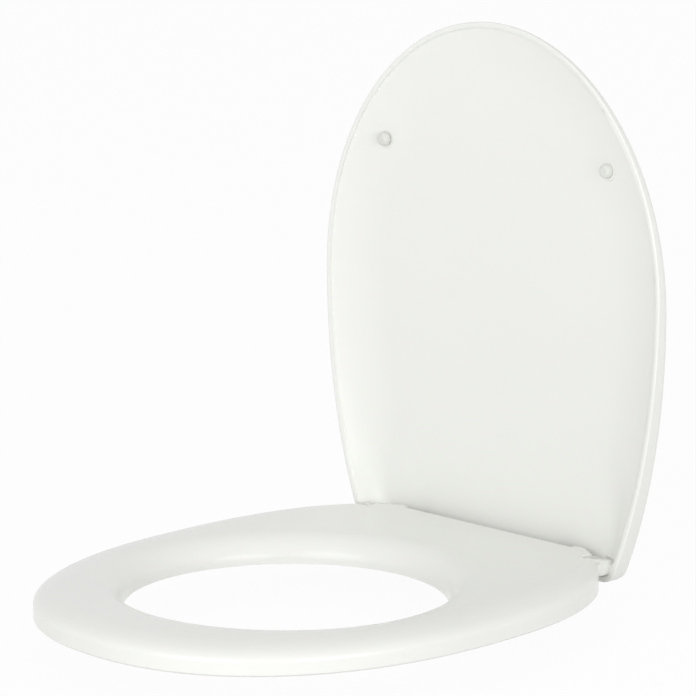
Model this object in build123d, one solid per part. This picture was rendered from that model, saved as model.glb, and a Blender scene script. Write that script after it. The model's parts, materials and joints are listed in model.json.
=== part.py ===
from build123d import *
import math
import os

os.makedirs("parts", exist_ok=True)

# Frame: z = 0 is the top of the bowl, the front points to -Y, and the origin is
# midway between the two fixing bolts. All sizes are in millimetres.

# Fixing bolts and hinge line
bolt_spacing = 155.0
hinge_y = -6.5
hinge_height = 21.5
lid_open = 90.8
pin_radius = 2.5
pin_running_clearance = 0.05

# Cuts run this far past the faces they open
overcut = 1.0
past_everything = 300.0

# Seat ring
ring_underside = 7.0
ring_thickness = 22.5
ring_half_width = 187.0
ring_mid_y = -178.7
ring_front = 240.5
ring_rear = 215.0
ring_front_power = 2.25
ring_rear_power = 2.5
crown_rear_power = 3.2
side_wall_height = 11.0
outer_crown_width = 30.0
rear_crown_width = 10.0
inner_crown_width = 26.0
inner_wall_height = 4.0
crown_steps = 6
outline_points = 32
foot_bevel = 1.5

# Hole of the ring
hole_half_width = 126.0
hole_mid_y = -224.1
hole_front = 122.0
hole_rear = 132.0

# Hollow underside of the ring
shell_side = 8.0
low_ceiling = 13.5
step_side = 18.0
high_ceiling = 17.5
rib_thickness = 2.6
rib_rise = 3.0
rib_count = 10

# Recess and hinge lugs of the ring
recess_y = 7.3
lug_width = 23.5
lug_swing_radius = 19.0
ear_notch_gap = 1.2
hood_skin = 2.3
middle_hood_skin = 4.3
room_front = -27.0
room_wall = 6.0
rear_beam = 14.0
rear_edge_rounding = 2.0

# Lid, described closed and then turned about the hinge line
lid_rim_z = 28.85
lid_half_width = 182.0
lid_mid = 208.1
lid_front = 212.0
lid_rear = 343.0
lid_overhang = 13.0
lid_corner_radius = 14.0
lid_depth = 24.0
dome_radius_across = 2600.0
dome_radius_along = 6500.0
dome_crest_behind = 20.0
dome_sweep = 4.6
lid_wall = 3.6
rim_width = 4.5
lid_top_rounding = 8.0
lid_crease_rounding = 7.0
rim_rounding = 1.2
lug_turn_gap = 0.6

# Lid ears that take the outer ends of the pins
ear_gap = 1.0
ear_radius = 5.5
ear_width = 18.0
ear_link_front = 2.0
ear_rear_inset = 1.0

# Buffers
lid_buffer_x = 121.0
lid_buffer_along = 314.0
lid_buffer_radius = 5.8
lid_buffer_foot_gap = 0.3
lid_boss_height = 2.6
lid_boss_radius = 9.0
lid_boss_flare = 1.5
lid_buffer_rounding = 1.0
stem_radius = 3.0
stem_root = 0.5
lid_buffer_stem = 2.2
ring_buffer_radius = 8.0
ring_buffer_rounding = 1.5
ring_buffer_stem = 6.0
ring_boss_radius = 10.0
front_buffer = (97.0, -339.7)
rear_buffer = (150.0, -100.7)

# Hinge posts on their adjuster discs
post_width = 20.0
knuckle_radius = 5.0
foot_radius = 14.0
foot_height = 2.2
foot_edge_rounding = 0.8
disc_radius = 15.0
disc_height = 4.2
disc_gap = 0.1
disc_side_gap = 0.5
disc_edge_rounding = 0.6
stub_radius = 4.0
stub_top = 12.0
stub_clearance = 0.05
stub_end_gap = 0.5
pin_inner_overhang = 0.5
pin_ear_depth = 14.0
pin_end_gap = 1.0
pin_chamfer = 0.5

# Fixing bolts, washers and nuts under the bowl
bowl_wall = 14.0
shank_radius = 4.0
thread_radius = 3.8
thread_depth = 0.5
thread_pitch = 1.5
bolt_end = 25.5
head_radius = 6.5
head_height = 2.6
head_side_gap = 0.3
head_bite_gap = 0.2
shank_hole_gap = 1.2
rubber_radius = 12.0
rubber_height = 2.6
rubber_rounding = 0.8
washer_radius = 10.5
washer_height = 1.5
washer_gap = 0.25
nut_hub_radius = 7.5
nut_height = 6.0
nut_seat_gap = 0.1
nut_chamfer = 1.0
wing_reach = 15.0
wing_thickness = 3.0
wing_drop = 1.5
wing_rounding = 2.0
nut_clearance = 0.05

# Places that follow from the sizes above
crown_z = ring_underside + ring_thickness
hinge_line = (0, hinge_y, hinge_height)
post_x = bolt_spacing / 2
recess_half_width = post_x + disc_radius + disc_side_gap
room_inner_x = post_x - disc_radius - disc_side_gap
lug_outer_x = recess_half_width + lug_width
ear_x = lug_outer_x + ear_gap
lid_rear_y = hinge_y + lid_overhang


def egg_outline(half_width, mid_y, front, rear, front_power, rear_power, z):
    """Closed smooth outline with a blunt front and a longer rear."""
    points = []
    for step in range(outline_points):
        angle = math.radians(360 * step / outline_points - 90)
        across = math.cos(angle)
        along = math.sin(angle)
        power = rear_power if along > 0 else front_power
        reach = rear if along > 0 else front
        x = half_width * math.copysign(abs(across) ** (2 / power), across)
        y = mid_y + reach * math.copysign(abs(along) ** (2 / power), along)
        points.append((x, y, z))
    return Wire([Spline(*points, periodic=True)])


def ring_outline(inset, z):
    """Outer outline of the ring, drawn in by an inset."""
    return egg_outline(
        ring_half_width - inset,
        ring_mid_y,
        ring_front - inset,
        ring_rear - inset,
        ring_front_power,
        ring_rear_power,
        z,
    )


def crown_outline(share, z):
    """Outline of the crown, drawn in by a share of its width and squarer towards the rear."""
    inset = outer_crown_width * share
    return egg_outline(
        ring_half_width - inset,
        ring_mid_y,
        ring_front - inset,
        ring_rear - rear_crown_width * share,
        ring_front_power,
        ring_rear_power + (crown_rear_power - ring_rear_power) * share,
        z,
    )


def hole_outline(growth, z):
    """Outline of the hole, widened by a growth."""
    return egg_outline(
        hole_half_width + growth,
        hole_mid_y,
        hole_front + growth,
        hole_rear + growth,
        2.0,
        2.0,
        z,
    )


def slab(outline, height):
    """Prism that stands on an outline."""
    return extrude(Face(outline), height, dir=(0, 0, 1))


def block(low, high):
    """Box between two corners."""
    size = [b - a for a, b in zip(low, high)]
    return Pos(*low) * Box(*size, align=(Align.MIN, Align.MIN, Align.MIN))


def rod(radius, start_x, end_x, y, z):
    """Round bar parallel to the hinge line."""
    bar = Cylinder(radius, end_x - start_x, align=(Align.CENTER, Align.CENTER, Align.MIN))
    return Pos(start_x, y, z) * Rot(0, 90, 0) * bar


def upright(radius, low_z, high_z, x, y):
    """Round bar that stands upright."""
    bar = Cylinder(radius, high_z - low_z, align=(Align.CENTER, Align.CENTER, Align.MIN))
    return Pos(x, y, low_z) * bar


def both_sides(shape):
    """A shape and its mirror image across the middle plane."""
    return shape + mirror(shape, about=Plane.YZ)


def quarter_turn():
    """Shares of width and height along a quarter ellipse that starts upright and ends level."""
    angles = [math.radians(90 * step / crown_steps) for step in range(crown_steps + 1)]
    return [(1 - math.cos(angle), math.sin(angle)) for angle in angles]


def crowned_body():
    """Ring before its hole: upright side wall and a crown that turns level."""
    shoulder = ring_underside + side_wall_height
    rise = ring_thickness - side_wall_height
    wall_low = ring_underside + foot_bevel
    bevel = Solid.make_loft([ring_outline(foot_bevel, ring_underside), ring_outline(0, wall_low)])
    wall = slab(ring_outline(0, wall_low), side_wall_height - foot_bevel)
    sections = [crown_outline(back, shoulder + rise * up) for back, up in quarter_turn()]
    return bevel + wall + Solid.make_loft(sections)


def flared_hole():
    """Space of the hole, widening upwards into the crown."""
    floor = ring_underside + inner_wall_height
    rise = ring_thickness - inner_wall_height
    well = slab(hole_outline(0, ring_underside - overcut), overcut + inner_wall_height)
    sections = [hole_outline(inner_crown_width * back, floor + rise * up) for back, up in quarter_turn()]
    return well + Solid.make_loft(sections)


def underside_band(side, ceiling):
    """Annular space under the ring, a wall's width away from both edges."""
    outer = slab(ring_outline(side, ring_underside - overcut), ceiling + overcut)
    inner = slab(hole_outline(side, ring_underside - overcut), ceiling + overcut)
    return outer - inner


def behind_plane(half_width, front_y, top_z):
    """Everything behind a plane and below a height, within a half width of the middle."""
    return block((-half_width, front_y, -past_everything), (half_width, past_everything, top_z))


def rear_edge_waste():
    """What the rounded top edge over the recess leaves off."""
    middle_y = recess_y - rear_edge_rounding
    middle_z = crown_z - rear_edge_rounding
    corner = block(
        (-recess_half_width, middle_y, middle_z),
        (recess_half_width, recess_y + overcut, crown_z + overcut),
    )
    return corner - rod(rear_edge_rounding, -past_everything, past_everything, middle_y, middle_z)


def make_seat_ring():
    """Ring shell with ribs, buffer bosses, hinge lugs and the recess between them."""
    body = crowned_body() - flared_hole()

    # Hollow underside in two steps, left solid in front of the hinge and at the buffers
    hollow = underside_band(shell_side, low_ceiling) + underside_band(step_side, high_ceiling)
    hollow -= behind_plane(past_everything, room_front - rear_beam, past_everything)
    kept = Part()
    for index in range(rib_count):
        angle = 360 / rib_count * (index + 0.5)
        blade = Box(past_everything, rib_thickness, ring_thickness, align=(Align.MIN, Align.CENTER, Align.MIN))
        kept += Pos(0, hole_mid_y, ring_underside + rib_rise) * Rot(0, 0, angle) * blade
    for x, y in (front_buffer, rear_buffer):
        kept += both_sides(upright(ring_boss_radius, ring_underside, crown_z, x, y))
    body -= hollow - kept

    # Behind the hinge line the ring keeps inside a cylinder, so that it can be raised
    swing = rod(lug_swing_radius, -past_everything, past_everything, hinge_y, hinge_height)
    body -= behind_plane(past_everything, hinge_y, past_everything) - swing
    body -= behind_plane(recess_half_width, recess_y, past_everything)
    notch_y = hinge_y - ear_radius - ear_notch_gap
    notch = block((lug_outer_x, notch_y, -past_everything), (past_everything, past_everything, past_everything))
    body -= both_sides(notch)
    body -= rear_edge_waste()

    # Room for the hinge posts under a thin hood, and a shallower room between them
    hood_z = crown_z - hood_skin
    room = block((room_inner_x, room_front, -past_everything), (recess_half_width, past_everything, hood_z))
    body -= both_sides(room)
    body -= behind_plane(room_inner_x - room_wall, room_front, crown_z - middle_hood_skin)

    # Bores for the pins, open to the middle room, and for the buffer stems
    bore_start = room_inner_x - room_wall - overcut
    bore = rod(pin_radius + pin_running_clearance, bore_start, lug_outer_x + overcut, hinge_y, hinge_height)
    body -= both_sides(bore)
    for x, y in (front_buffer, rear_buffer):
        body -= both_sides(upright(stem_radius, ring_underside - overcut, ring_underside + ring_buffer_stem, x, y))
    return body


def lid_outline(inset, z):
    """Outline of the closed lid: two half ellipses, cut straight behind the hinge with rounded corners."""
    mid_y = hinge_y - lid_mid
    rear_y = lid_rear_y - inset
    width = lid_half_width - inset
    rear = lid_rear - inset
    turn = math.degrees(math.asin((rear_y - mid_y) / rear))
    nose = EllipticalCenterArc((0, mid_y), width, lid_front - inset, start_angle=180, arc_size=180)
    right = EllipticalCenterArc((0, mid_y), width, rear, start_angle=0, arc_size=turn)
    left = EllipticalCenterArc((0, mid_y), width, rear, start_angle=180 - turn, arc_size=turn)
    face = make_face([nose, right, Line(right @ 1, left @ 0), left])
    corners = [v for v in face.vertices() if v.Y > hinge_y]
    return Pos(0, 0, z) * fillet(corners, lid_corner_radius - inset)


def dome(drop):
    """Block with the lid's domed top, lowered by a drop."""
    crest_z = lid_rim_z + lid_depth - drop
    crest_y = hinge_y + dome_crest_behind
    half = lid_half_width + 60
    sag = dome_radius_across - math.sqrt(dome_radius_across ** 2 - half ** 2)
    arc = ThreePointArc((-half, -sag), (0, 0), (half, -sag))
    sides = Polyline((half, -sag), (half, -120), (-half, -120), (-half, -sag))
    profile = Plane(origin=(0, crest_y, crest_z), x_dir=(1, 0, 0), z_dir=(0, -1, 0)) * make_face(arc + sides)
    axis = Axis((0, crest_y, crest_z - dome_radius_along), (1, 0, 0))
    return revolve(profile, axis, dome_sweep)


def level_edges(shape, low_z):
    """Edges of a shape above a height that do not stand upright."""
    return [e for e in shape.edges() if e.center().Z > low_z and abs(e.tangent_at(0.5).Z) < 0.9]


def make_lid_closed():
    """Lid shell with rim, ears and buffer bosses, lying closed."""
    tall = lid_depth + overcut
    outer = extrude(lid_outline(0, lid_rim_z), tall, dir=(0, 0, 1)) & dome(0)
    outer = fillet(level_edges(outer, lid_rim_z + overcut), lid_top_rounding)
    outer = fillet(outer.edges().group_by(Axis.Z)[0], rim_rounding)
    inner = extrude(lid_outline(rim_width, lid_rim_z - overcut), tall, dir=(0, 0, 1)) & dome(lid_wall)
    inner = fillet(level_edges(inner, lid_rim_z + overcut), lid_crease_rounding)
    shell = outer - inner

    # Ears beside the hinge lugs of the ring, tied to the skin and the side wall
    ear_front = hinge_y - ear_radius
    ear_rear = lid_rear_y - ear_rear_inset
    ear_top = lid_rim_z + lid_depth - lid_wall / 2
    ear = rod(ear_radius, ear_x, ear_x + ear_width, hinge_y, hinge_height)
    arm = block((ear_x, ear_front, hinge_height), (ear_x + ear_width, hinge_y + ear_radius, lid_rim_z + rim_width))
    link_front = hinge_y - ear_link_front
    link = block((ear_x, link_front, lid_rim_z + rim_rounding), (lid_half_width, ear_rear, ear_top))
    shell += both_sides(ear + arm + (link & outer))

    # Between the ears the rear wall stays clear of the lugs when the lid turns
    wall_inside = lid_overhang - rim_width
    opening_top = hinge_height + math.sqrt((lug_swing_radius + lug_turn_gap) ** 2 - wall_inside ** 2)
    shell -= block((-ear_x, ear_front, lid_rim_z - overcut), (ear_x, past_everything, opening_top))

    bore_end = ear_x + pin_ear_depth + pin_end_gap
    bore = rod(pin_radius + pin_running_clearance, ear_x - overcut, bore_end, hinge_y, hinge_height)
    shell -= both_sides(bore)

    # Bosses that hold the buffers
    boss_y = hinge_y - lid_buffer_along
    seat = lid_buffer_top()
    boss = Cone(
        lid_boss_radius - lid_boss_flare,
        lid_boss_radius,
        lid_boss_height + lid_wall / 2,
        align=(Align.CENTER, Align.CENTER, Align.MIN),
    )
    for x in (-lid_buffer_x, lid_buffer_x):
        socket = upright(stem_radius, seat - overcut, seat + lid_buffer_stem, x, boss_y)
        shell += Pos(x, boss_y, seat) * boss - socket
    return shell


def lid_buffer_top():
    """Height of the seat of the lid's buffers above the bowl, with the lid closed."""
    across = lid_buffer_x ** 2 / (2 * dome_radius_across)
    along = (lid_buffer_along + dome_crest_behind) ** 2 / (2 * dome_radius_along)
    inside = lid_rim_z + lid_depth - lid_wall - across - along
    return inside - lid_boss_height


def make_lid_buffer(side):
    """Soft disc with a stem, pushed into a boss of the lid."""
    seat = lid_buffer_top()
    low = crown_z + lid_buffer_foot_gap
    x = side * lid_buffer_x
    y = hinge_y - lid_buffer_along
    disc = upright(lid_buffer_radius, low, seat, x, y)
    disc = fillet(disc.edges().group_by(Axis.Z)[0], lid_buffer_rounding)
    stem = upright(stem_radius, seat - stem_root, seat + lid_buffer_stem, x, y)
    return disc + stem


def opened(shape):
    """A closed piece turned up to the open lid."""
    return shape.rotate(Axis(hinge_line, (-1, 0, 0)), lid_open)


def make_ring_buffer(x, y):
    """Soft foot between the ring and the bowl, with a stem in the ring."""
    foot = upright(ring_buffer_radius, 0, ring_underside, x, y)
    foot = fillet(foot.edges().group_by(Axis.Z)[0], ring_buffer_rounding)
    stem = upright(stem_radius, ring_underside - stem_root, ring_underside + ring_buffer_stem, x, y)
    return foot + stem


def make_hinge_post(side):
    """Post with a round foot, a bore for the disc's stub and a knuckle for the pin."""
    x = side * post_x
    foot_low = disc_height + disc_gap
    foot = upright(foot_radius, foot_low, foot_low + foot_height, x, hinge_y)
    foot = fillet(foot.edges().group_by(Axis.Z)[-1], foot_edge_rounding)
    stem = block(
        (x - post_width / 2, hinge_y - knuckle_radius, foot_low),
        (x + post_width / 2, hinge_y + knuckle_radius, hinge_height),
    )
    knuckle = rod(knuckle_radius, x - post_width / 2, x + post_width / 2, hinge_y, hinge_height)
    post = foot + stem + knuckle
    post -= upright(stub_radius + stub_clearance, foot_low - overcut, stub_top + stub_end_gap, x, hinge_y)
    post -= rod(pin_radius, x - post_width, x + post_width, hinge_y, hinge_height)
    return post


def make_hinge_pin(side):
    """Plain steel pin, fixed in the post and turning in ring and lid."""
    inner = post_x - post_width / 2 - pin_inner_overhang
    pin = rod(pin_radius, inner, ear_x + pin_ear_depth, hinge_y, hinge_height)
    pin = chamfer(pin.edges().filter_by(GeomType.CIRCLE), pin_chamfer)
    return pin if side > 0 else mirror(pin, about=Plane.YZ)


def make_adjuster_disc(side):
    """Round base with a stub for the post and an off-centre seat for the bolt head."""
    x = side * post_x
    disc = upright(disc_radius, 0, disc_height, x, hinge_y)
    disc = fillet(disc.edges().group_by(Axis.Z)[-1], disc_edge_rounding)
    head_low = disc_height - head_height
    pocket = upright(head_radius + head_side_gap, head_low, disc_height + overcut, x, 0)
    disc -= pocket
    disc -= upright(shank_radius + shank_hole_gap, -overcut, disc_height, x, 0)
    stub = upright(stub_radius, head_low, stub_top, x, hinge_y)
    return disc + stub


def make_fixing_bolt(side):
    """Bolt with a flat head, a plain shank through the bowl and a threaded end."""
    x = side * post_x
    head_low = disc_height - head_height
    outline = [(0, head_low + head_height), (head_radius, head_low + head_height), (head_radius, head_low)]
    outline += [(shank_radius, head_low), (shank_radius, -bowl_wall)]
    z = -bowl_wall
    valley = thread_radius - thread_depth
    outline.append((valley, z))
    while z - thread_pitch > -bolt_end:
        outline.append((thread_radius, z - thread_pitch / 2))
        outline.append((valley, z - thread_pitch))
        z -= thread_pitch
    outline += [(valley, -bolt_end), (0, -bolt_end)]
    profile = Plane.XZ * make_face(Polyline(*outline, close=True))
    bolt = revolve(profile, Axis.Z)
    bite = upright(stub_radius + head_bite_gap, head_low - overcut, disc_height + overcut, 0, hinge_y)
    return Pos(x, 0, 0) * (bolt - bite)


def make_rubber_washer(side):
    """Soft washer against the underside of the bowl."""
    x = side * post_x
    top = -bowl_wall
    washer = upright(rubber_radius, top - rubber_height, top, x, 0)
    washer = fillet(washer.edges().group_by(Axis.Z)[0], rubber_rounding)
    return washer - upright(thread_radius + washer_gap, top - rubber_height - overcut, top + overcut, x, 0)


def make_flat_washer(side):
    """Flat washer under the nut."""
    x = side * post_x
    top = -bowl_wall - rubber_height
    washer = upright(washer_radius, top - washer_height, top, x, 0)
    return washer - upright(thread_radius + washer_gap, top - washer_height - overcut, top + overcut, x, 0)


def make_wing_nut(side):
    """Hand nut with two wings."""
    top = -bowl_wall - rubber_height - washer_height - nut_seat_gap
    low = top - nut_height
    hub = upright(nut_hub_radius, low, top, 0, 0)
    hub = chamfer(hub.edges().group_by(Axis.Z)[0], nut_chamfer)
    wing = block((-wing_reach, -wing_thickness / 2, low), (wing_reach, wing_thickness / 2, top - wing_drop))
    wing = fillet(wing.edges().filter_by(Axis.Y), wing_rounding)
    nut = hub + wing
    nut -= upright(thread_radius + nut_clearance, low - overcut, top + overcut, 0, 0)
    return Pos(side * post_x, 0, 0) * nut


pieces = {
    "seat_ring": make_seat_ring(),
    "lid": opened(make_lid_closed()),
}
for name, side in (("left", -1), ("right", 1)):
    pieces["lid_buffer_" + name] = opened(make_lid_buffer(side))
    pieces["ring_buffer_front_" + name] = make_ring_buffer(side * front_buffer[0], front_buffer[1])
    pieces["ring_buffer_rear_" + name] = make_ring_buffer(side * rear_buffer[0], rear_buffer[1])
    pieces["hinge_post_" + name] = make_hinge_post(side)
    pieces["hinge_pin_" + name] = make_hinge_pin(side)
    pieces["adjuster_disc_" + name] = make_adjuster_disc(side)
    pieces["fixing_bolt_" + name] = make_fixing_bolt(side)
    pieces["rubber_washer_" + name] = make_rubber_washer(side)
    pieces["flat_washer_" + name] = make_flat_washer(side)
    pieces["wing_nut_" + name] = make_wing_nut(side)

for name, shape in pieces.items():
    export_step(shape, "parts/" + name + ".step")
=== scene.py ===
import json
import math

import bmesh
import bpy
from bpy.props import FloatProperty, FloatVectorProperty, IntProperty, PointerProperty
from bpy.types import Operator, Panel, PropertyGroup
from mathutils import Matrix, Vector


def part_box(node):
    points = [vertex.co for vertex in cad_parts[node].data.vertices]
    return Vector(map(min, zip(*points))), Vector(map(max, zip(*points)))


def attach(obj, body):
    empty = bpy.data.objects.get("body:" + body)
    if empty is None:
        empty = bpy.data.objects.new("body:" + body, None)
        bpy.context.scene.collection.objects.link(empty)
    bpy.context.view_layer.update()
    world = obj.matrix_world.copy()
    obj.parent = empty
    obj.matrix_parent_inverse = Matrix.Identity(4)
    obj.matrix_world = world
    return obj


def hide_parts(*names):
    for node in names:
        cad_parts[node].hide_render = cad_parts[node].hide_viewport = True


bl_info = {
    "name": "Toilet Seat Looks",
    "version": (1, 0, 0),
    "blender": (4, 5, 0),
    "location": "View3D > Sidebar > Toilet Seat",
    "description": "Lid, finishes, soft buffers and studio stage for the hinged toilet seat",
    "category": "3D View",
}

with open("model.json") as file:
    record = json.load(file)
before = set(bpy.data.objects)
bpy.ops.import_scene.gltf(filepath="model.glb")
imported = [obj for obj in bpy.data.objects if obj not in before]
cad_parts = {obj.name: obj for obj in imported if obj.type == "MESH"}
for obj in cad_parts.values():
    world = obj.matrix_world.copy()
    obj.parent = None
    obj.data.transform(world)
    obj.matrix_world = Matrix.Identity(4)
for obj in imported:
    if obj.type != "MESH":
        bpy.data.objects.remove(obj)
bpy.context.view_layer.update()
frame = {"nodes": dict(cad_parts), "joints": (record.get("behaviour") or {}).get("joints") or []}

SIDES = ("left", "right")
HINGE = next(joint for joint in frame["joints"] if joint["name"] == "lid_hinge")
HINGE_POINT = Vector(HINGE["pos_m"])
LID_OPEN = -math.radians(HINGE["range_deg"][0])

# Meshes
MERGE_DISTANCE = 1e-6
SMOOTH_ANGLE = math.radians(32)
SOFTEN_ANGLE = math.radians(20)
SOFTEN_SEGMENTS = 3

# Soft buffers: shares of radius and height, from the middle of the foot up to the seat,
# and the share of the height by which the edges are rounded
LID_DISC = ((0.0, 0.0), (0.55, 0.0), (0.82, 0.12), (0.96, 0.36), (1.0, 0.6), (1.0, 1.0))
LID_DISC_ROUNDING = 0.072
RING_FOOT = ((0.0, 0.1), (0.45, 0.1), (0.55, 0.0), (0.82, 0.0), (0.98, 0.22), (1.0, 1.0))
RING_FOOT_ROUNDING = 0.08

# Materials
NOISE_MIDDLE = (0.3, 0.7)
TONE_SCALE = 9.0
GLOSS_SCALE = 45.0
LINE_STRETCH = (25.0, 2600.0, 2600.0)
LINE_TONE = (0.82, 1.06)
LINE_ROUGHNESS = (0.3, 0.42)

# Stage
WHITE = (1.0, 1.0, 1.0, 1.0)
FLOOR_COLOUR = (0.9, 0.9, 0.9, 1.0)
FLOOR_RADIUS = 40.0
FLOOR_SEGMENTS = 96
FRONT_LIGHT = {"place": (0.8, -3.4, 1.2), "aim": (0.0, -0.1, 0.15), "size": 2.8}
SIDE_LIGHT = {"place": (3.3, -0.9, 0.65), "aim": (0.0, -0.2, 0.1), "size": 2.4}
MM_PER_M = 1000
SENSOR_WIDTH_MM = 36.0
CLIP_RANGE = (0.05, 200.0)


def node_centre(node):
    """Middle of a CAD node's box."""
    low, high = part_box(node)
    return (low + high) / 2


# Settings


def colour_property(name, description, default):
    """A colour that the sidebar shows as a swatch."""
    return FloatVectorProperty(
        name=name,
        description=description,
        default=default,
        size=3,
        min=0.0,
        max=1.0,
        subtype="COLOR",
    )


def length_property(name, description, default):
    """A length in metres."""
    return FloatProperty(
        name=name,
        description=description,
        default=default,
        min=0.0,
        unit="LENGTH",
        precision=5,
    )


def power_property(name, description, default):
    """A lamp's power in watts."""
    return FloatProperty(
        name=name, description=description, default=default, min=0.0, unit="POWER"
    )


def angle_property(name, description, degrees):
    """An angle, given here in degrees."""
    return FloatProperty(
        name=name, description=description, default=math.radians(degrees), subtype="ANGLE"
    )


class SeatFinishSettings(PropertyGroup):
    """Colours and gloss of the seat's materials."""

    seat_white: colour_property(
        "Seat white", "Colour of the ring and the lid", (0.86, 0.868, 0.832)
    )
    hinge_white: colour_property(
        "Hinge white", "Colour of the posts and the bases", (0.83, 0.838, 0.805)
    )
    buffer_grey: colour_property(
        "Buffer grey", "Colour of the soft buffers", (0.72, 0.73, 0.69)
    )
    nylon_white: colour_property(
        "Nylon white", "Colour of bolts, nuts and flat washers", (0.74, 0.735, 0.69)
    )
    rubber_black: colour_property(
        "Rubber black", "Colour of the soft washers under the bowl", (0.035, 0.035, 0.036)
    )
    pin_steel: colour_property(
        "Pin steel", "Colour of the hinge pins", (0.60, 0.60, 0.59)
    )
    seat_roughness: FloatProperty(
        name="Seat roughness",
        description="Roughness of the glossy mouldings",
        default=0.235,
        min=0.0,
        max=1.0,
    )
    peel_height: length_property(
        "Peel height", "Height of the faint ripple in the mouldings", 0.000003
    )


class SeatLidSettings(PropertyGroup):
    """Sizes of the lid's inside, measured with the lid closed."""

    half_width: length_property("Half width", "Half width of the lid", 0.182)
    middle: length_property(
        "Middle", "Distance of the widest place from the hinge line", 0.2081
    )
    nose_reach: length_property(
        "Nose reach", "Length of the lid in front of its widest place", 0.212
    )
    rear_reach: length_property(
        "Rear reach", "Length of the half ellipse behind the widest place", 0.343
    )
    rim_width: length_property("Rim width", "Width of the rim", 0.0045)
    rim_height: length_property("Rim height", "Height of the rim over the bowl", 0.02885)
    inside_crest: length_property(
        "Inside crest", "Height of the inner skin's crest over the rim", 0.0204
    )
    crest_behind: length_property(
        "Crest place", "Distance of the crest behind the hinge line", 0.02
    )
    dome_across: length_property("Dome across", "Radius of the dome across the lid", 2.6)
    dome_along: length_property("Dome along", "Radius of the dome along the lid", 6.5)
    cove_width: length_property(
        "Cove width", "Width of the soft turn from the wall to the skin", 0.050
    )
    cove_end_width: length_property(
        "Cove end width", "Width of that turn at the ears", 0.022
    )
    cove_fade: length_property(
        "Cove fade", "Length over which the turn narrows towards the ears", 0.09
    )
    cove_start: length_property(
        "Cove start", "Height over the rim where the turn starts", 0.0015
    )
    cove_root: length_property(
        "Cove root", "Depth of the turn's back in wall and skin", 0.001
    )
    cove_power: FloatProperty(
        name="Cove power",
        description="Power of the turn's depth over its width",
        default=2.0,
        min=1.0,
    )
    cove_stations: IntProperty(
        name="Cove stations", description="Sections round the lid", default=220, min=20
    )
    cove_steps: IntProperty(
        name="Cove steps", description="Steps across the turn", default=18, min=4
    )


class SeatBufferSettings(PropertyGroup):
    """Sizes of the soft buffers."""

    lid_radius: length_property(
        "Lid buffer radius", "Radius of the discs inside the lid", 0.0058
    )
    lid_low: length_property(
        "Lid buffer foot", "Height of the discs' feet over the bowl, lid closed", 0.0298
    )
    lid_high: length_property(
        "Lid buffer seat", "Height of the discs' seats over the bowl, lid closed", 0.03525
    )
    lid_along: length_property(
        "Lid buffer reach", "Distance of the discs from the hinge line", 0.314
    )
    ring_radius: length_property(
        "Ring buffer radius", "Radius of the feet under the ring", 0.008
    )
    ring_height: length_property(
        "Ring buffer height", "Height of the feet under the ring", 0.007
    )
    stem_radius: length_property(
        "Stem radius", "Radius of the stems in their sockets", 0.003
    )
    stem_length: length_property(
        "Stem length", "Length of the stems in their sockets", 0.002
    )
    turns: IntProperty(
        name="Turn steps", description="Steps round a buffer", default=64, min=12
    )


class SeatStageSettings(PropertyGroup):
    """Floor, light and camera."""

    floor_height: length_property(
        "Floor depth", "Depth of the floor under the bowl's top face", 0.026
    )
    sky_strength: FloatProperty(
        name="Sky",
        description="Strength of the light from all round",
        default=0.61,
        min=0.0,
    )
    front_power: power_property(
        "Front light", "Power of the large soft light in front", 44.0
    )
    side_power: power_property(
        "Side light", "Power of the large soft light at the right", 37.0
    )
    floor_glow: FloatProperty(
        name="Floor white",
        description="Share of plain white in the floor that the camera sees",
        default=0.95,
        max=1.0,
    )
    lens: FloatProperty(
        name="Lens",
        description="Focal length of the camera",
        default=0.19505,
        unit="LENGTH",
        precision=5,
    )
    camera_place: FloatVectorProperty(
        name="Camera place",
        description="Place of the camera",
        default=(2.02655, -2.18303, 0.7915),
        size=3,
        subtype="TRANSLATION",
        unit="LENGTH",
    )
    camera_azimuth: angle_property(
        "Camera azimuth", "Direction that the camera looks from, round the seat", 44.95
    )
    camera_elevation: angle_property(
        "Camera elevation", "Direction that the camera looks from, above the horizon", 11.63
    )


# Shared effects


def effect_group(name, inputs):
    """A new node group that gives colour, roughness and height.

    Returns it with its input and output nodes.
    """
    group = bpy.data.node_groups.new(name, "ShaderNodeTree")
    for socket, kind, default in inputs:
        made = group.interface.new_socket(socket, in_out="INPUT", socket_type=kind)
        if default is not None:
            made.default_value = default
    for socket, kind in (
        ("Colour", "NodeSocketColor"),
        ("Roughness", "NodeSocketFloat"),
        ("Height", "NodeSocketFloat"),
    ):
        group.interface.new_socket(socket, in_out="OUTPUT", socket_type=kind)
    return group, group.nodes.new("NodeGroupInput"), group.nodes.new("NodeGroupOutput")


def noise_node(tree, detail, roughness):
    """A noise texture with its detail set."""
    node = tree.nodes.new("ShaderNodeTexNoise")
    node.inputs["Detail"].default_value = detail
    node.inputs["Roughness"].default_value = roughness
    return node


def spread_node(tree, low, high):
    """Maps the middle of a noise to a range."""
    node = tree.nodes.new("ShaderNodeMapRange")
    node.inputs["From Min"].default_value = NOISE_MIDDLE[0]
    node.inputs["From Max"].default_value = NOISE_MIDDLE[1]
    node.inputs["To Min"].default_value = low
    node.inputs["To Max"].default_value = high
    return node


def math_node(tree, operation):
    """A math node for an operation."""
    node = tree.nodes.new("ShaderNodeMath")
    node.operation = operation
    return node


def shade_node(tree, colour, factor):
    """Scales a colour by a factor."""
    node = tree.nodes.new("ShaderNodeVectorMath")
    node.operation = "SCALE"
    tree.links.new(colour, node.inputs[0])
    tree.links.new(factor, node.inputs["Scale"])
    return node


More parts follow.
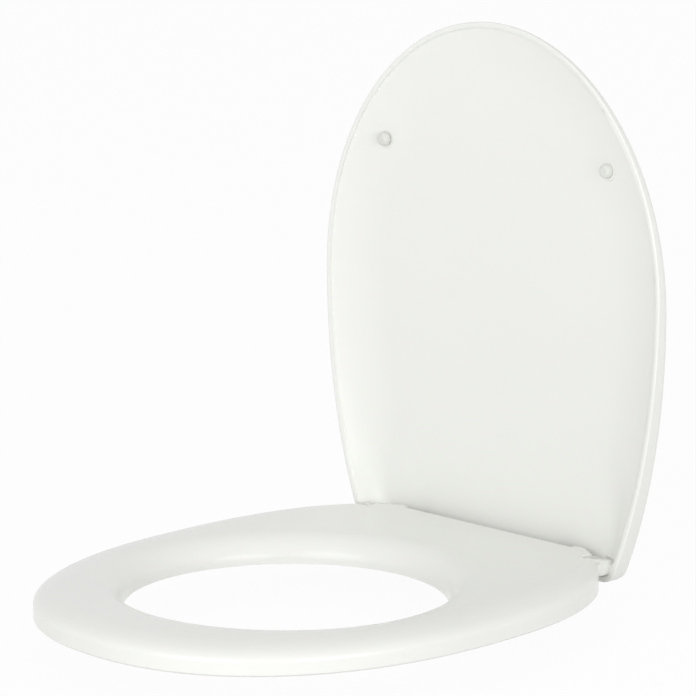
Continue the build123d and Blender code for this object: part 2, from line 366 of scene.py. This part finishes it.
def moulded_skin():
    """Effect of a moulded surface: slow change of tone, patches of gloss and a faint ripple."""
    if "Moulded Skin" in bpy.data.node_groups:
        return bpy.data.node_groups["Moulded Skin"]
    group, given, made = effect_group(
        "Moulded Skin",
        [
            ("Vector", "NodeSocketVector", None),
            ("Colour", "NodeSocketColor", (0.8, 0.8, 0.8, 1.0)),
            ("Tone Depth", "NodeSocketFloat", 0.02),
            ("Roughness", "NodeSocketFloat", 0.25),
            ("Gloss Spread", "NodeSocketFloat", 0.05),
            ("Ripple Scale", "NodeSocketFloat", 350.0),
        ],
    )
    links = group.links

    slow = noise_node(group, detail=2.0, roughness=0.5)
    slow.inputs["Scale"].default_value = TONE_SCALE
    links.new(given.outputs["Vector"], slow.inputs["Vector"])
    tone = spread_node(group, -1.0, 1.0)
    links.new(slow.outputs["Fac"], tone.inputs["Value"])
    depth = math_node(group, "MULTIPLY_ADD")
    depth.inputs[2].default_value = 1.0
    links.new(tone.outputs["Result"], depth.inputs[0])
    links.new(given.outputs["Tone Depth"], depth.inputs[1])
    shade = shade_node(group, given.outputs["Colour"], depth.outputs["Value"])
    links.new(shade.outputs["Vector"], made.inputs["Colour"])

    patch = noise_node(group, detail=3.0, roughness=0.6)
    patch.inputs["Scale"].default_value = GLOSS_SCALE
    links.new(given.outputs["Vector"], patch.inputs["Vector"])
    gloss = spread_node(group, -1.0, 1.0)
    links.new(patch.outputs["Fac"], gloss.inputs["Value"])
    rough = math_node(group, "MULTIPLY_ADD")
    rough.use_clamp = True
    links.new(gloss.outputs["Result"], rough.inputs[0])
    links.new(given.outputs["Gloss Spread"], rough.inputs[1])
    links.new(given.outputs["Roughness"], rough.inputs[2])
    links.new(rough.outputs["Value"], made.inputs["Roughness"])

    ripple = noise_node(group, detail=1.5, roughness=0.4)
    links.new(given.outputs["Vector"], ripple.inputs["Vector"])
    links.new(given.outputs["Ripple Scale"], ripple.inputs["Scale"])
    links.new(ripple.outputs["Fac"], made.inputs["Height"])
    return group


def drawn_lines():
    """Effect of drawn metal: fine lines along the rod."""
    if "Drawn Lines" in bpy.data.node_groups:
        return bpy.data.node_groups["Drawn Lines"]
    group, given, made = effect_group(
        "Drawn Lines",
        [
            ("Vector", "NodeSocketVector", None),
            ("Colour", "NodeSocketColor", (0.6, 0.6, 0.6, 1.0)),
        ],
    )
    links = group.links
    stretch = group.nodes.new("ShaderNodeMapping")
    stretch.inputs["Scale"].default_value = LINE_STRETCH
    links.new(given.outputs["Vector"], stretch.inputs["Vector"])
    lines = noise_node(group, detail=4.0, roughness=0.6)
    lines.inputs["Scale"].default_value = 1.0
    links.new(stretch.outputs["Vector"], lines.inputs["Vector"])
    tone = spread_node(group, *LINE_TONE)
    links.new(lines.outputs["Fac"], tone.inputs["Value"])
    shade = shade_node(group, given.outputs["Colour"], tone.outputs["Result"])
    links.new(shade.outputs["Vector"], made.inputs["Colour"])
    rough = spread_node(group, *LINE_ROUGHNESS)
    links.new(lines.outputs["Fac"], rough.inputs["Value"])
    links.new(rough.outputs["Result"], made.inputs["Roughness"])
    links.new(lines.outputs["Fac"], made.inputs["Height"])
    return group


# Materials


def finish_material(name, group, values, height, constants=None):
    """A material whose colour, roughness and bump come from an effect group."""
    material = bpy.data.materials.new(name)
    material.use_nodes = True
    tree = material.node_tree
    shader = tree.nodes["Principled BSDF"]
    for socket, value in (constants or {}).items():
        shader.inputs[socket].default_value = value
    place = tree.nodes.new("ShaderNodeTexCoord")
    effect = tree.nodes.new("ShaderNodeGroup")
    effect.node_tree = group
    for socket, value in values.items():
        effect.inputs[socket].default_value = value
    bump = tree.nodes.new("ShaderNodeBump")
    bump.inputs["Distance"].default_value = height
    bump.inputs["Strength"].default_value = 1.0
    tree.links.new(place.outputs["Object"], effect.inputs["Vector"])
    tree.links.new(effect.outputs["Colour"], shader.inputs["Base Color"])
    tree.links.new(effect.outputs["Roughness"], shader.inputs["Roughness"])
    tree.links.new(effect.outputs["Height"], bump.inputs["Height"])
    tree.links.new(bump.outputs["Normal"], shader.inputs["Normal"])
    return material


def glossy_white(name, colour, settings):
    """Smooth white moulding of the ring, the lid and the hinge."""
    values = {
        "Colour": (*colour, 1.0),
        "Tone Depth": 0.005,
        "Roughness": settings.seat_roughness,
        "Gloss Spread": 0.012,
        "Ripple Scale": 260.0,
    }
    return finish_material(
        name, moulded_skin(), values, height=settings.peel_height, constants={"IOR": 1.46}
    )


def soft_grey(name, settings):
    """Milky soft plastic of the buffers."""
    values = {
        "Colour": (*settings.buffer_grey, 1.0),
        "Tone Depth": 0.05,
        "Roughness": 0.46,
        "Gloss Spread": 0.08,
        "Ripple Scale": 900.0,
    }
    return finish_material(
        name, moulded_skin(), values, height=0.00004, constants={"IOR": 1.42}
    )


def nylon(name, settings):
    """Off-white nylon of the fixings."""
    values = {
        "Colour": (*settings.nylon_white, 1.0),
        "Tone Depth": 0.04,
        "Roughness": 0.44,
        "Gloss Spread": 0.08,
        "Ripple Scale": 1500.0,
    }
    return finish_material(name, moulded_skin(), values, height=0.00003)


def black_rubber(name, settings):
    """Matt rubber of the washers under the bowl."""
    values = {
        "Colour": (*settings.rubber_black, 1.0),
        "Tone Depth": 0.25,
        "Roughness": 0.72,
        "Gloss Spread": 0.12,
        "Ripple Scale": 2200.0,
    }
    return finish_material(name, moulded_skin(), values, height=0.00006)


def drawn_steel(name, settings):
    """Drawn steel of the hinge pins."""
    values = {"Colour": (*settings.pin_steel, 1.0)}
    return finish_material(
        name, drawn_lines(), values, height=0.00001, constants={"Metallic": 1.0}
    )


def dress(nodes, material):
    """Gives CAD nodes a material."""
    for node in nodes:
        slots = frame["nodes"][node].data.materials
        if len(slots) == 0:
            slots.append(material)
        for index in range(len(slots)):
            slots[index] = material


# Modelling


def turned_piece(profile, steps):
    """A bmesh of a profile of radius and height, spun round the upright axis."""
    mesh = bmesh.new()
    points = [mesh.verts.new((radius, 0.0, height)) for radius, height in profile]
    edges = [mesh.edges.new(pair) for pair in zip(points, points[1:])]
    bmesh.ops.spin(
        mesh,
        geom=points + edges,
        axis=(0.0, 0.0, 1.0),
        cent=(0.0, 0.0, 0.0),
        angle=2 * math.pi,
        steps=steps,
        use_merge=True,
    )
    bmesh.ops.remove_doubles(mesh, verts=mesh.verts, dist=MERGE_DISTANCE)
    bmesh.ops.recalc_face_normals(mesh, faces=mesh.faces)
    return mesh


def soften(mesh, width):
    """Bevels the edges of a bmesh that turn by more than SOFTEN_ANGLE."""
    sharp = [
        edge
        for edge in mesh.edges
        if edge.is_manifold and edge.calc_face_angle() > SOFTEN_ANGLE
    ]
    bmesh.ops.bevel(
        mesh,
        geom=sharp,
        offset=width,
        offset_type="OFFSET",
        affect="EDGES",
        segments=SOFTEN_SEGMENTS,
        profile=0.5,
        material=-1,
        clamp_overlap=True,
    )
    bmesh.ops.recalc_face_normals(mesh, faces=mesh.faces)


def buffer_profile(sizes, shares, radius, low, high):
    """Radius and height along a buffer's outline, closed by the stem over its seat."""
    body = [(radius * out, low + (high - low) * up) for out, up in shares]
    top = high + sizes.stem_length
    return [*body, (sizes.stem_radius, high), (sizes.stem_radius, top), (0.0, top)]


def open_lid(mesh):
    """Turns a bmesh drawn on the closed lid up to the open lid."""
    turn = Matrix.Rotation(LID_OPEN, 4, Vector(HINGE["axis"]))
    bmesh.ops.rotate(mesh, cent=HINGE_POINT, matrix=turn, verts=mesh.verts)


def finish_piece(mesh, name, material):
    """Makes a smooth object of a bmesh."""
    data = bpy.data.meshes.new(name)
    mesh.to_mesh(data)
    mesh.free()
    data.materials.append(material)
    data.shade_smooth()
    piece = bpy.data.objects.new(name, data)
    bpy.context.scene.collection.objects.link(piece)
    return piece


def evaluated_mesh(context, carrier):
    """A new mesh of an object with its modifiers applied."""
    return bpy.data.meshes.new_from_object(
        carrier.evaluated_get(context.evaluated_depsgraph_get())
    )


def check_closed(data, name):
    """Raises an error if a mesh is empty or has open edges."""
    mesh = bmesh.new()
    mesh.from_mesh(data)
    closed = len(mesh.faces) > 0 and all(edge.is_manifold for edge in mesh.edges)
    mesh.free()
    if not closed:
        raise RuntimeError(f"{name} isn't a closed mesh")


def joined_piece(context, shell, addition, name, material):
    """Makes one object of two closed bmeshes that overlap, smooth where it turns gently."""
    base = finish_piece(shell, name + "_shell", material)
    extra = finish_piece(addition, name + "_addition", material)
    union = base.modifiers.new("union", "BOOLEAN")
    union.operation = "UNION"
    union.solver = "EXACT"
    union.object = extra
    data = evaluated_mesh(context, base)
    for spare in (base, extra):
        bpy.data.objects.remove(spare)
    check_closed(data, name)
    data.shade_smooth()
    data.set_sharp_from_angle(angle=SMOOTH_ANGLE)
    piece = bpy.data.objects.new(name, data)
    context.scene.collection.objects.link(piece)

    # Large faces lead the normals, so the lid's skin stays even beside the small faces
    weights = piece.modifiers.new("weights", "WEIGHTED_NORMAL")
    weights.mode = "FACE_AREA"
    weights.keep_sharp = True
    piece.data = evaluated_mesh(context, piece)
    piece.data.name = name
    piece.modifiers.clear()
    return piece


# Operators


class SEAT_OT_ring(Operator):
    """Finish the seat ring"""

    bl_idname = "seat.ring"
    bl_label = "Finish Ring"

    def execute(self, context):
        settings = context.scene.seat_finish
        dress(["seat_ring"], glossy_white("ring_white", settings.seat_white, settings))
        return {"FINISHED"}


class SEAT_OT_lid(Operator):
    """Model the lid's moulding with the soft turn round its inside"""

    bl_idname = "seat.lid"
    bl_label = "Model Lid"

    def execute(self, context):
        settings = context.scene.seat_finish
        material = glossy_white("lid_white", settings.seat_white, settings)
        shell = bmesh.new()
        shell.from_mesh(frame["nodes"]["lid"].data)
        bmesh.ops.remove_doubles(shell, verts=shell.verts, dist=MERGE_DISTANCE)
        cove = self.make_cove(context.scene.seat_lid)
        open_lid(cove)
        piece = joined_piece(context, shell, cove, "lid_moulding", material)
        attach(piece, "lid")
        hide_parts("lid")
        return {"FINISHED"}

    def skin_height(self, lid, place):
        """Height of the closed lid's inner skin over the bowl."""
        along = place.y - HINGE_POINT.y - lid.crest_behind
        drop = place.x ** 2 / (2 * lid.dome_across) + along ** 2 / (2 * lid.dome_along)
        return lid.rim_height + lid.inside_crest - drop

    def wall_station(self, lid, share):
        """Point on the inner wall and its inward normal.

        The share runs from the right ear round the nose to the left ear.
        """
        width = lid.half_width - lid.rim_width
        rear = lid.rear_reach - lid.rim_width
        nose = lid.nose_reach - lid.rim_width
        rear_turn = math.asin(lid.middle / rear)
        angle = rear_turn - share * (2 * rear_turn + math.pi)
        reach = rear if math.sin(angle) > 0 else nose
        middle_y = HINGE_POINT.y - lid.middle
        wall = Vector((width * math.cos(angle), middle_y + reach * math.sin(angle)))
        inward = -Vector((math.cos(angle) / width, math.sin(angle) / reach)).normalized()
        return wall, inward

    def cove_section(self, lid, wall, inward):
        """Points of the turn's closed section at a place on the wall."""
        # Towards the ears the turn narrows and lies straight across the lid
        near = min(1.0, (HINGE_POINT.y - wall.y) / lid.cove_fade)
        near = near * near * (3 - 2 * near)
        width = lid.cove_end_width + (lid.cove_width - lid.cove_end_width) * near
        across_lid = Vector((-math.copysign(1.0, wall.x), 0.0))
        inward = inward.lerp(across_lid, 1 - near).normalized()

        low = lid.rim_height + lid.cove_start
        depth = self.skin_height(lid, wall) - low
        section = []
        for step in range(lid.cove_steps + 1):
            across = step / lid.cove_steps
            place = wall + inward * width * across
            drop = depth * (1 - across) ** lid.cove_power
            section.append((place.x, place.y, self.skin_height(lid, place) - drop))
        inner = wall + inward * width
        behind = wall - inward * lid.cove_root
        section.append((inner.x, inner.y, self.skin_height(lid, inner) + lid.cove_root))
        section.append((behind.x, behind.y, self.skin_height(lid, behind)))
        section.append((behind.x, behind.y, low))
        return section

    def make_cove(self, lid):
        """A bmesh of the solid between wall, skin and a soft turn that runs round the lid."""
        mesh = bmesh.new()
        sections = []
        for station in range(lid.cove_stations + 1):
            wall, inward = self.wall_station(lid, station / lid.cove_stations)
            section = self.cove_section(lid, wall, inward)
            sections.append([mesh.verts.new(point) for point in section])
        for first, second in zip(sections, sections[1:]):
            for index in range(len(first)):
                after = (index + 1) % len(first)
                mesh.faces.new((first[index], first[after], second[after], second[index]))
        mesh.faces.new(sections[0])
        mesh.faces.new(sections[-1])
        bmesh.ops.recalc_face_normals(mesh, faces=mesh.faces)
        return mesh


class SEAT_OT_lid_buffers(Operator):
    """Model the soft discs inside the lid"""

    bl_idname = "seat.lid_buffers"
    bl_label = "Model Lid Buffers"

    def execute(self, context):
        sizes = context.scene.seat_buffers
        material = soft_grey("lid_buffer_grey", context.scene.seat_finish)
        low, high = sizes.lid_low, sizes.lid_high
        profile = buffer_profile(sizes, LID_DISC, sizes.lid_radius, low, high)
        for side in SIDES:
            node = "lid_buffer_" + side
            mesh = turned_piece(profile, sizes.turns)
            soften(mesh, width=(high - low) * LID_DISC_ROUNDING)
            place = Vector((node_centre(node).x, HINGE_POINT.y - sizes.lid_along, 0.0))
            bmesh.ops.translate(mesh, vec=place, verts=mesh.verts)
            open_lid(mesh)
            piece = finish_piece(mesh, "lid_disc_" + side, material)
            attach(piece, "lid")
            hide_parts(node)
        return {"FINISHED"}


class SEAT_OT_ring_buffers(Operator):
    """Model the soft feet under the ring"""

    bl_idname = "seat.ring_buffers"
    bl_label = "Model Ring Buffers"

    def execute(self, context):
        sizes = context.scene.seat_buffers
        material = soft_grey("ring_buffer_grey", context.scene.seat_finish)
        height = sizes.ring_height
        profile = buffer_profile(sizes, RING_FOOT, sizes.ring_radius, 0.0, height)
        for end in ("front", "rear"):
            for side in SIDES:
                node = "ring_buffer_" + end + "_" + side
                mesh = turned_piece(profile, sizes.turns)
                soften(mesh, width=height * RING_FOOT_ROUNDING)
                centre = node_centre(node)
                place = Vector((centre.x, centre.y, 0.0))
                bmesh.ops.translate(mesh, vec=place, verts=mesh.verts)
                piece = finish_piece(mesh, "ring_foot_" + end + "_" + side, material)
                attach(piece, "ring")
                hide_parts(node)
        return {"FINISHED"}


class SEAT_OT_hinge(Operator):
    """Finish the posts, the bases and the pins of the hinge"""

    bl_idname = "seat.hinge"
    bl_label = "Finish Hinge"

    def execute(self, context):
        settings = context.scene.seat_finish
        parts = ("hinge_post_", "adjuster_disc_")
        white = glossy_white("hinge_white", settings.hinge_white, settings)
        dress([part + side for part in parts for side in SIDES], white)
        dress(["hinge_pin_" + side for side in SIDES], drawn_steel("pin_steel", settings))
        return {"FINISHED"}


class SEAT_OT_fixings(Operator):
    """Finish the bolts, washers and hand nuts under the bowl"""

    bl_idname = "seat.fixings"
    bl_label = "Finish Fixings"

    def execute(self, context):
        settings = context.scene.seat_finish
        parts = ("fixing_bolt_", "flat_washer_", "wing_nut_")
        plastic = nylon("fixing_nylon", settings)
        dress([part + side for part in parts for side in SIDES], plastic)
        rubber = black_rubber("washer_rubber", settings)
        dress(["rubber_washer_" + side for side in SIDES], rubber)
        return {"FINISHED"}


class SEAT_OT_stage(Operator):
    """Set the floor, the light and the camera"""

    bl_idname = "seat.stage"
    bl_label = "Set Stage"

    def execute(self, context):
        stage = context.scene.seat_stage
        self.make_floor(stage)
        self.make_sky(context, stage)
        self.make_lamp(context, "front_light", FRONT_LIGHT, stage.front_power)
        self.make_lamp(context, "side_light", SIDE_LIGHT, stage.side_power)
        self.make_camera(context, stage)
        context.scene.view_settings.view_transform = "Standard"
        return {"FINISHED"}

    def background_share(self, tree):
        """Light path value that is 1 for rays that show the background."""
        path = tree.nodes.new("ShaderNodeLightPath")
        first = math_node(tree, "MAXIMUM")
        tree.links.new(path.outputs["Is Camera Ray"], first.inputs[0])
        tree.links.new(path.outputs["Is Glossy Ray"], first.inputs[1])
        both = math_node(tree, "MAXIMUM")
        tree.links.new(first.outputs["Value"], both.inputs[0])
        tree.links.new(path.outputs["Is Transmission Ray"], both.inputs[1])
        return both.outputs["Value"]

    def make_floor(self, stage):
        """A wide pale floor that keeps the seat's shadow and shows nearly white."""
        mesh = bmesh.new()
        bmesh.ops.create_circle(
            mesh, cap_ends=True, segments=FLOOR_SEGMENTS, radius=FLOOR_RADIUS
        )
        drop = Vector((0.0, 0.0, -stage.floor_height))
        bmesh.ops.translate(mesh, vec=drop, verts=mesh.verts)
        material = bpy.data.materials.new("floor_white")
        material.use_nodes = True
        tree = material.node_tree
        tree.nodes.clear()
        output = tree.nodes.new("ShaderNodeOutputMaterial")
        matt = tree.nodes.new("ShaderNodeBsdfDiffuse")
        matt.inputs["Color"].default_value = FLOOR_COLOUR
        glow = tree.nodes.new("ShaderNodeEmission")
        glow.inputs["Strength"].default_value = 1.0
        share = math_node(tree, "MULTIPLY")
        share.inputs[1].default_value = stage.floor_glow
        tree.links.new(self.background_share(tree), share.inputs[0])
        mix = tree.nodes.new("ShaderNodeMixShader")
        tree.links.new(share.outputs["Value"], mix.inputs["Fac"])
        tree.links.new(matt.outputs["BSDF"], mix.inputs[1])
        tree.links.new(glow.outputs["Emission"], mix.inputs[2])
        tree.links.new(mix.outputs["Shader"], output.inputs["Surface"])
        floor = finish_piece(mesh, "floor", material)

    def make_sky(self, context, stage):
        """Even light from all round, with a plain white background."""
        world = bpy.data.worlds.new("studio_sky")
        context.scene.world = world
        world.use_nodes = True
        tree = world.node_tree
        tree.nodes.clear()
        output = tree.nodes.new("ShaderNodeOutputWorld")
        light = tree.nodes.new("ShaderNodeBackground")
        light.inputs["Strength"].default_value = stage.sky_strength
        light.inputs["Color"].default_value = WHITE
        white = tree.nodes.new("ShaderNodeBackground")
        white.inputs["Color"].default_value = WHITE
        mix = tree.nodes.new("ShaderNodeMixShader")
        tree.links.new(self.background_share(tree), mix.inputs["Fac"])
        tree.links.new(light.outputs["Background"], mix.inputs[1])
        tree.links.new(white.outputs["Background"], mix.inputs[2])
        tree.links.new(mix.outputs["Shader"], output.inputs["Surface"])

    def make_lamp(self, context, name, light, power):
        """A large round lamp that faces a point on the seat."""
        lamp = bpy.data.lights.new(name, "AREA")
        lamp.shape = "DISK"
        lamp.size = light["size"]
        lamp.energy = power
        place = Vector(light["place"])
        carrier = bpy.data.objects.new(name, lamp)
        carrier.location = place
        carrier.rotation_mode = "QUATERNION"
        carrier.rotation_quaternion = (Vector(light["aim"]) - place).to_track_quat("-Z", "Y")
        context.scene.collection.objects.link(carrier)

    def make_camera(self, context, stage):
        """A camera at the photograph's view."""
        azimuth, elevation = stage.camera_azimuth, stage.camera_elevation
        back = Vector(
            (
                math.sin(azimuth) * math.cos(elevation),
                -math.cos(azimuth) * math.cos(elevation),
                math.sin(elevation),
            )
        )
        camera = bpy.data.cameras.new("photo_camera")
        camera.lens = stage.lens * MM_PER_M
        camera.sensor_width = SENSOR_WIDTH_MM
        camera.clip_start, camera.clip_end = CLIP_RANGE
        carrier = bpy.data.objects.new("photo_camera", camera)
        carrier.location = stage.camera_place
        carrier.rotation_mode = "QUATERNION"
        carrier.rotation_quaternion = (-back).to_track_quat("-Z", "Y")
        context.scene.collection.objects.link(carrier)
        context.scene.camera = carrier


class SEAT_PT_panel(Panel):
    """Lists the steps and settings of the seat"""

    bl_idname = "SEAT_PT_panel"
    bl_label = "Toilet Seat"
    bl_space_type = "VIEW_3D"
    bl_region_type = "UI"
    bl_category = "Toilet Seat"

    def draw(self, context):
        for step in STEPS:
            self.layout.operator(step.bl_idname)
        scene = context.scene
        for settings in (
            scene.seat_finish,
            scene.seat_lid,
            scene.seat_buffers,
            scene.seat_stage,
        ):
            box = self.layout.box()
            for key in settings.bl_rna.properties.keys():
                if key not in ("rna_type", "name"):
                    box.prop(settings, key)


SETTINGS = (SeatFinishSettings, SeatLidSettings, SeatBufferSettings, SeatStageSettings)
STEPS = (
    SEAT_OT_ring,
    SEAT_OT_lid,
    SEAT_OT_lid_buffers,
    SEAT_OT_ring_buffers,
    SEAT_OT_hinge,
    SEAT_OT_fixings,
    SEAT_OT_stage,
)


def register():
    """Adds the add-on's classes and settings."""
    for cls in (*SETTINGS, *STEPS, SEAT_PT_panel):
        bpy.utils.register_class(cls)
    bpy.types.Scene.seat_finish = PointerProperty(type=SeatFinishSettings)
    bpy.types.Scene.seat_lid = PointerProperty(type=SeatLidSettings)
    bpy.types.Scene.seat_buffers = PointerProperty(type=SeatBufferSettings)
    bpy.types.Scene.seat_stage = PointerProperty(type=SeatStageSettings)


def unregister():
    """Takes the add-on's settings and classes away."""
    del bpy.types.Scene.seat_stage
    del bpy.types.Scene.seat_buffers
    del bpy.types.Scene.seat_lid
    del bpy.types.Scene.seat_finish
    for cls in reversed((*SETTINGS, *STEPS, SEAT_PT_panel)):
        bpy.utils.unregister_class(cls)


def main():
    """Makes the whole scene."""
    register()
    bpy.ops.seat.ring()
    bpy.ops.seat.lid()
    bpy.ops.seat.lid_buffers()
    bpy.ops.seat.ring_buffers()
    bpy.ops.seat.hinge()
    bpy.ops.seat.fixings()
    bpy.ops.seat.stage()


if __name__ == "__main__":
    main()
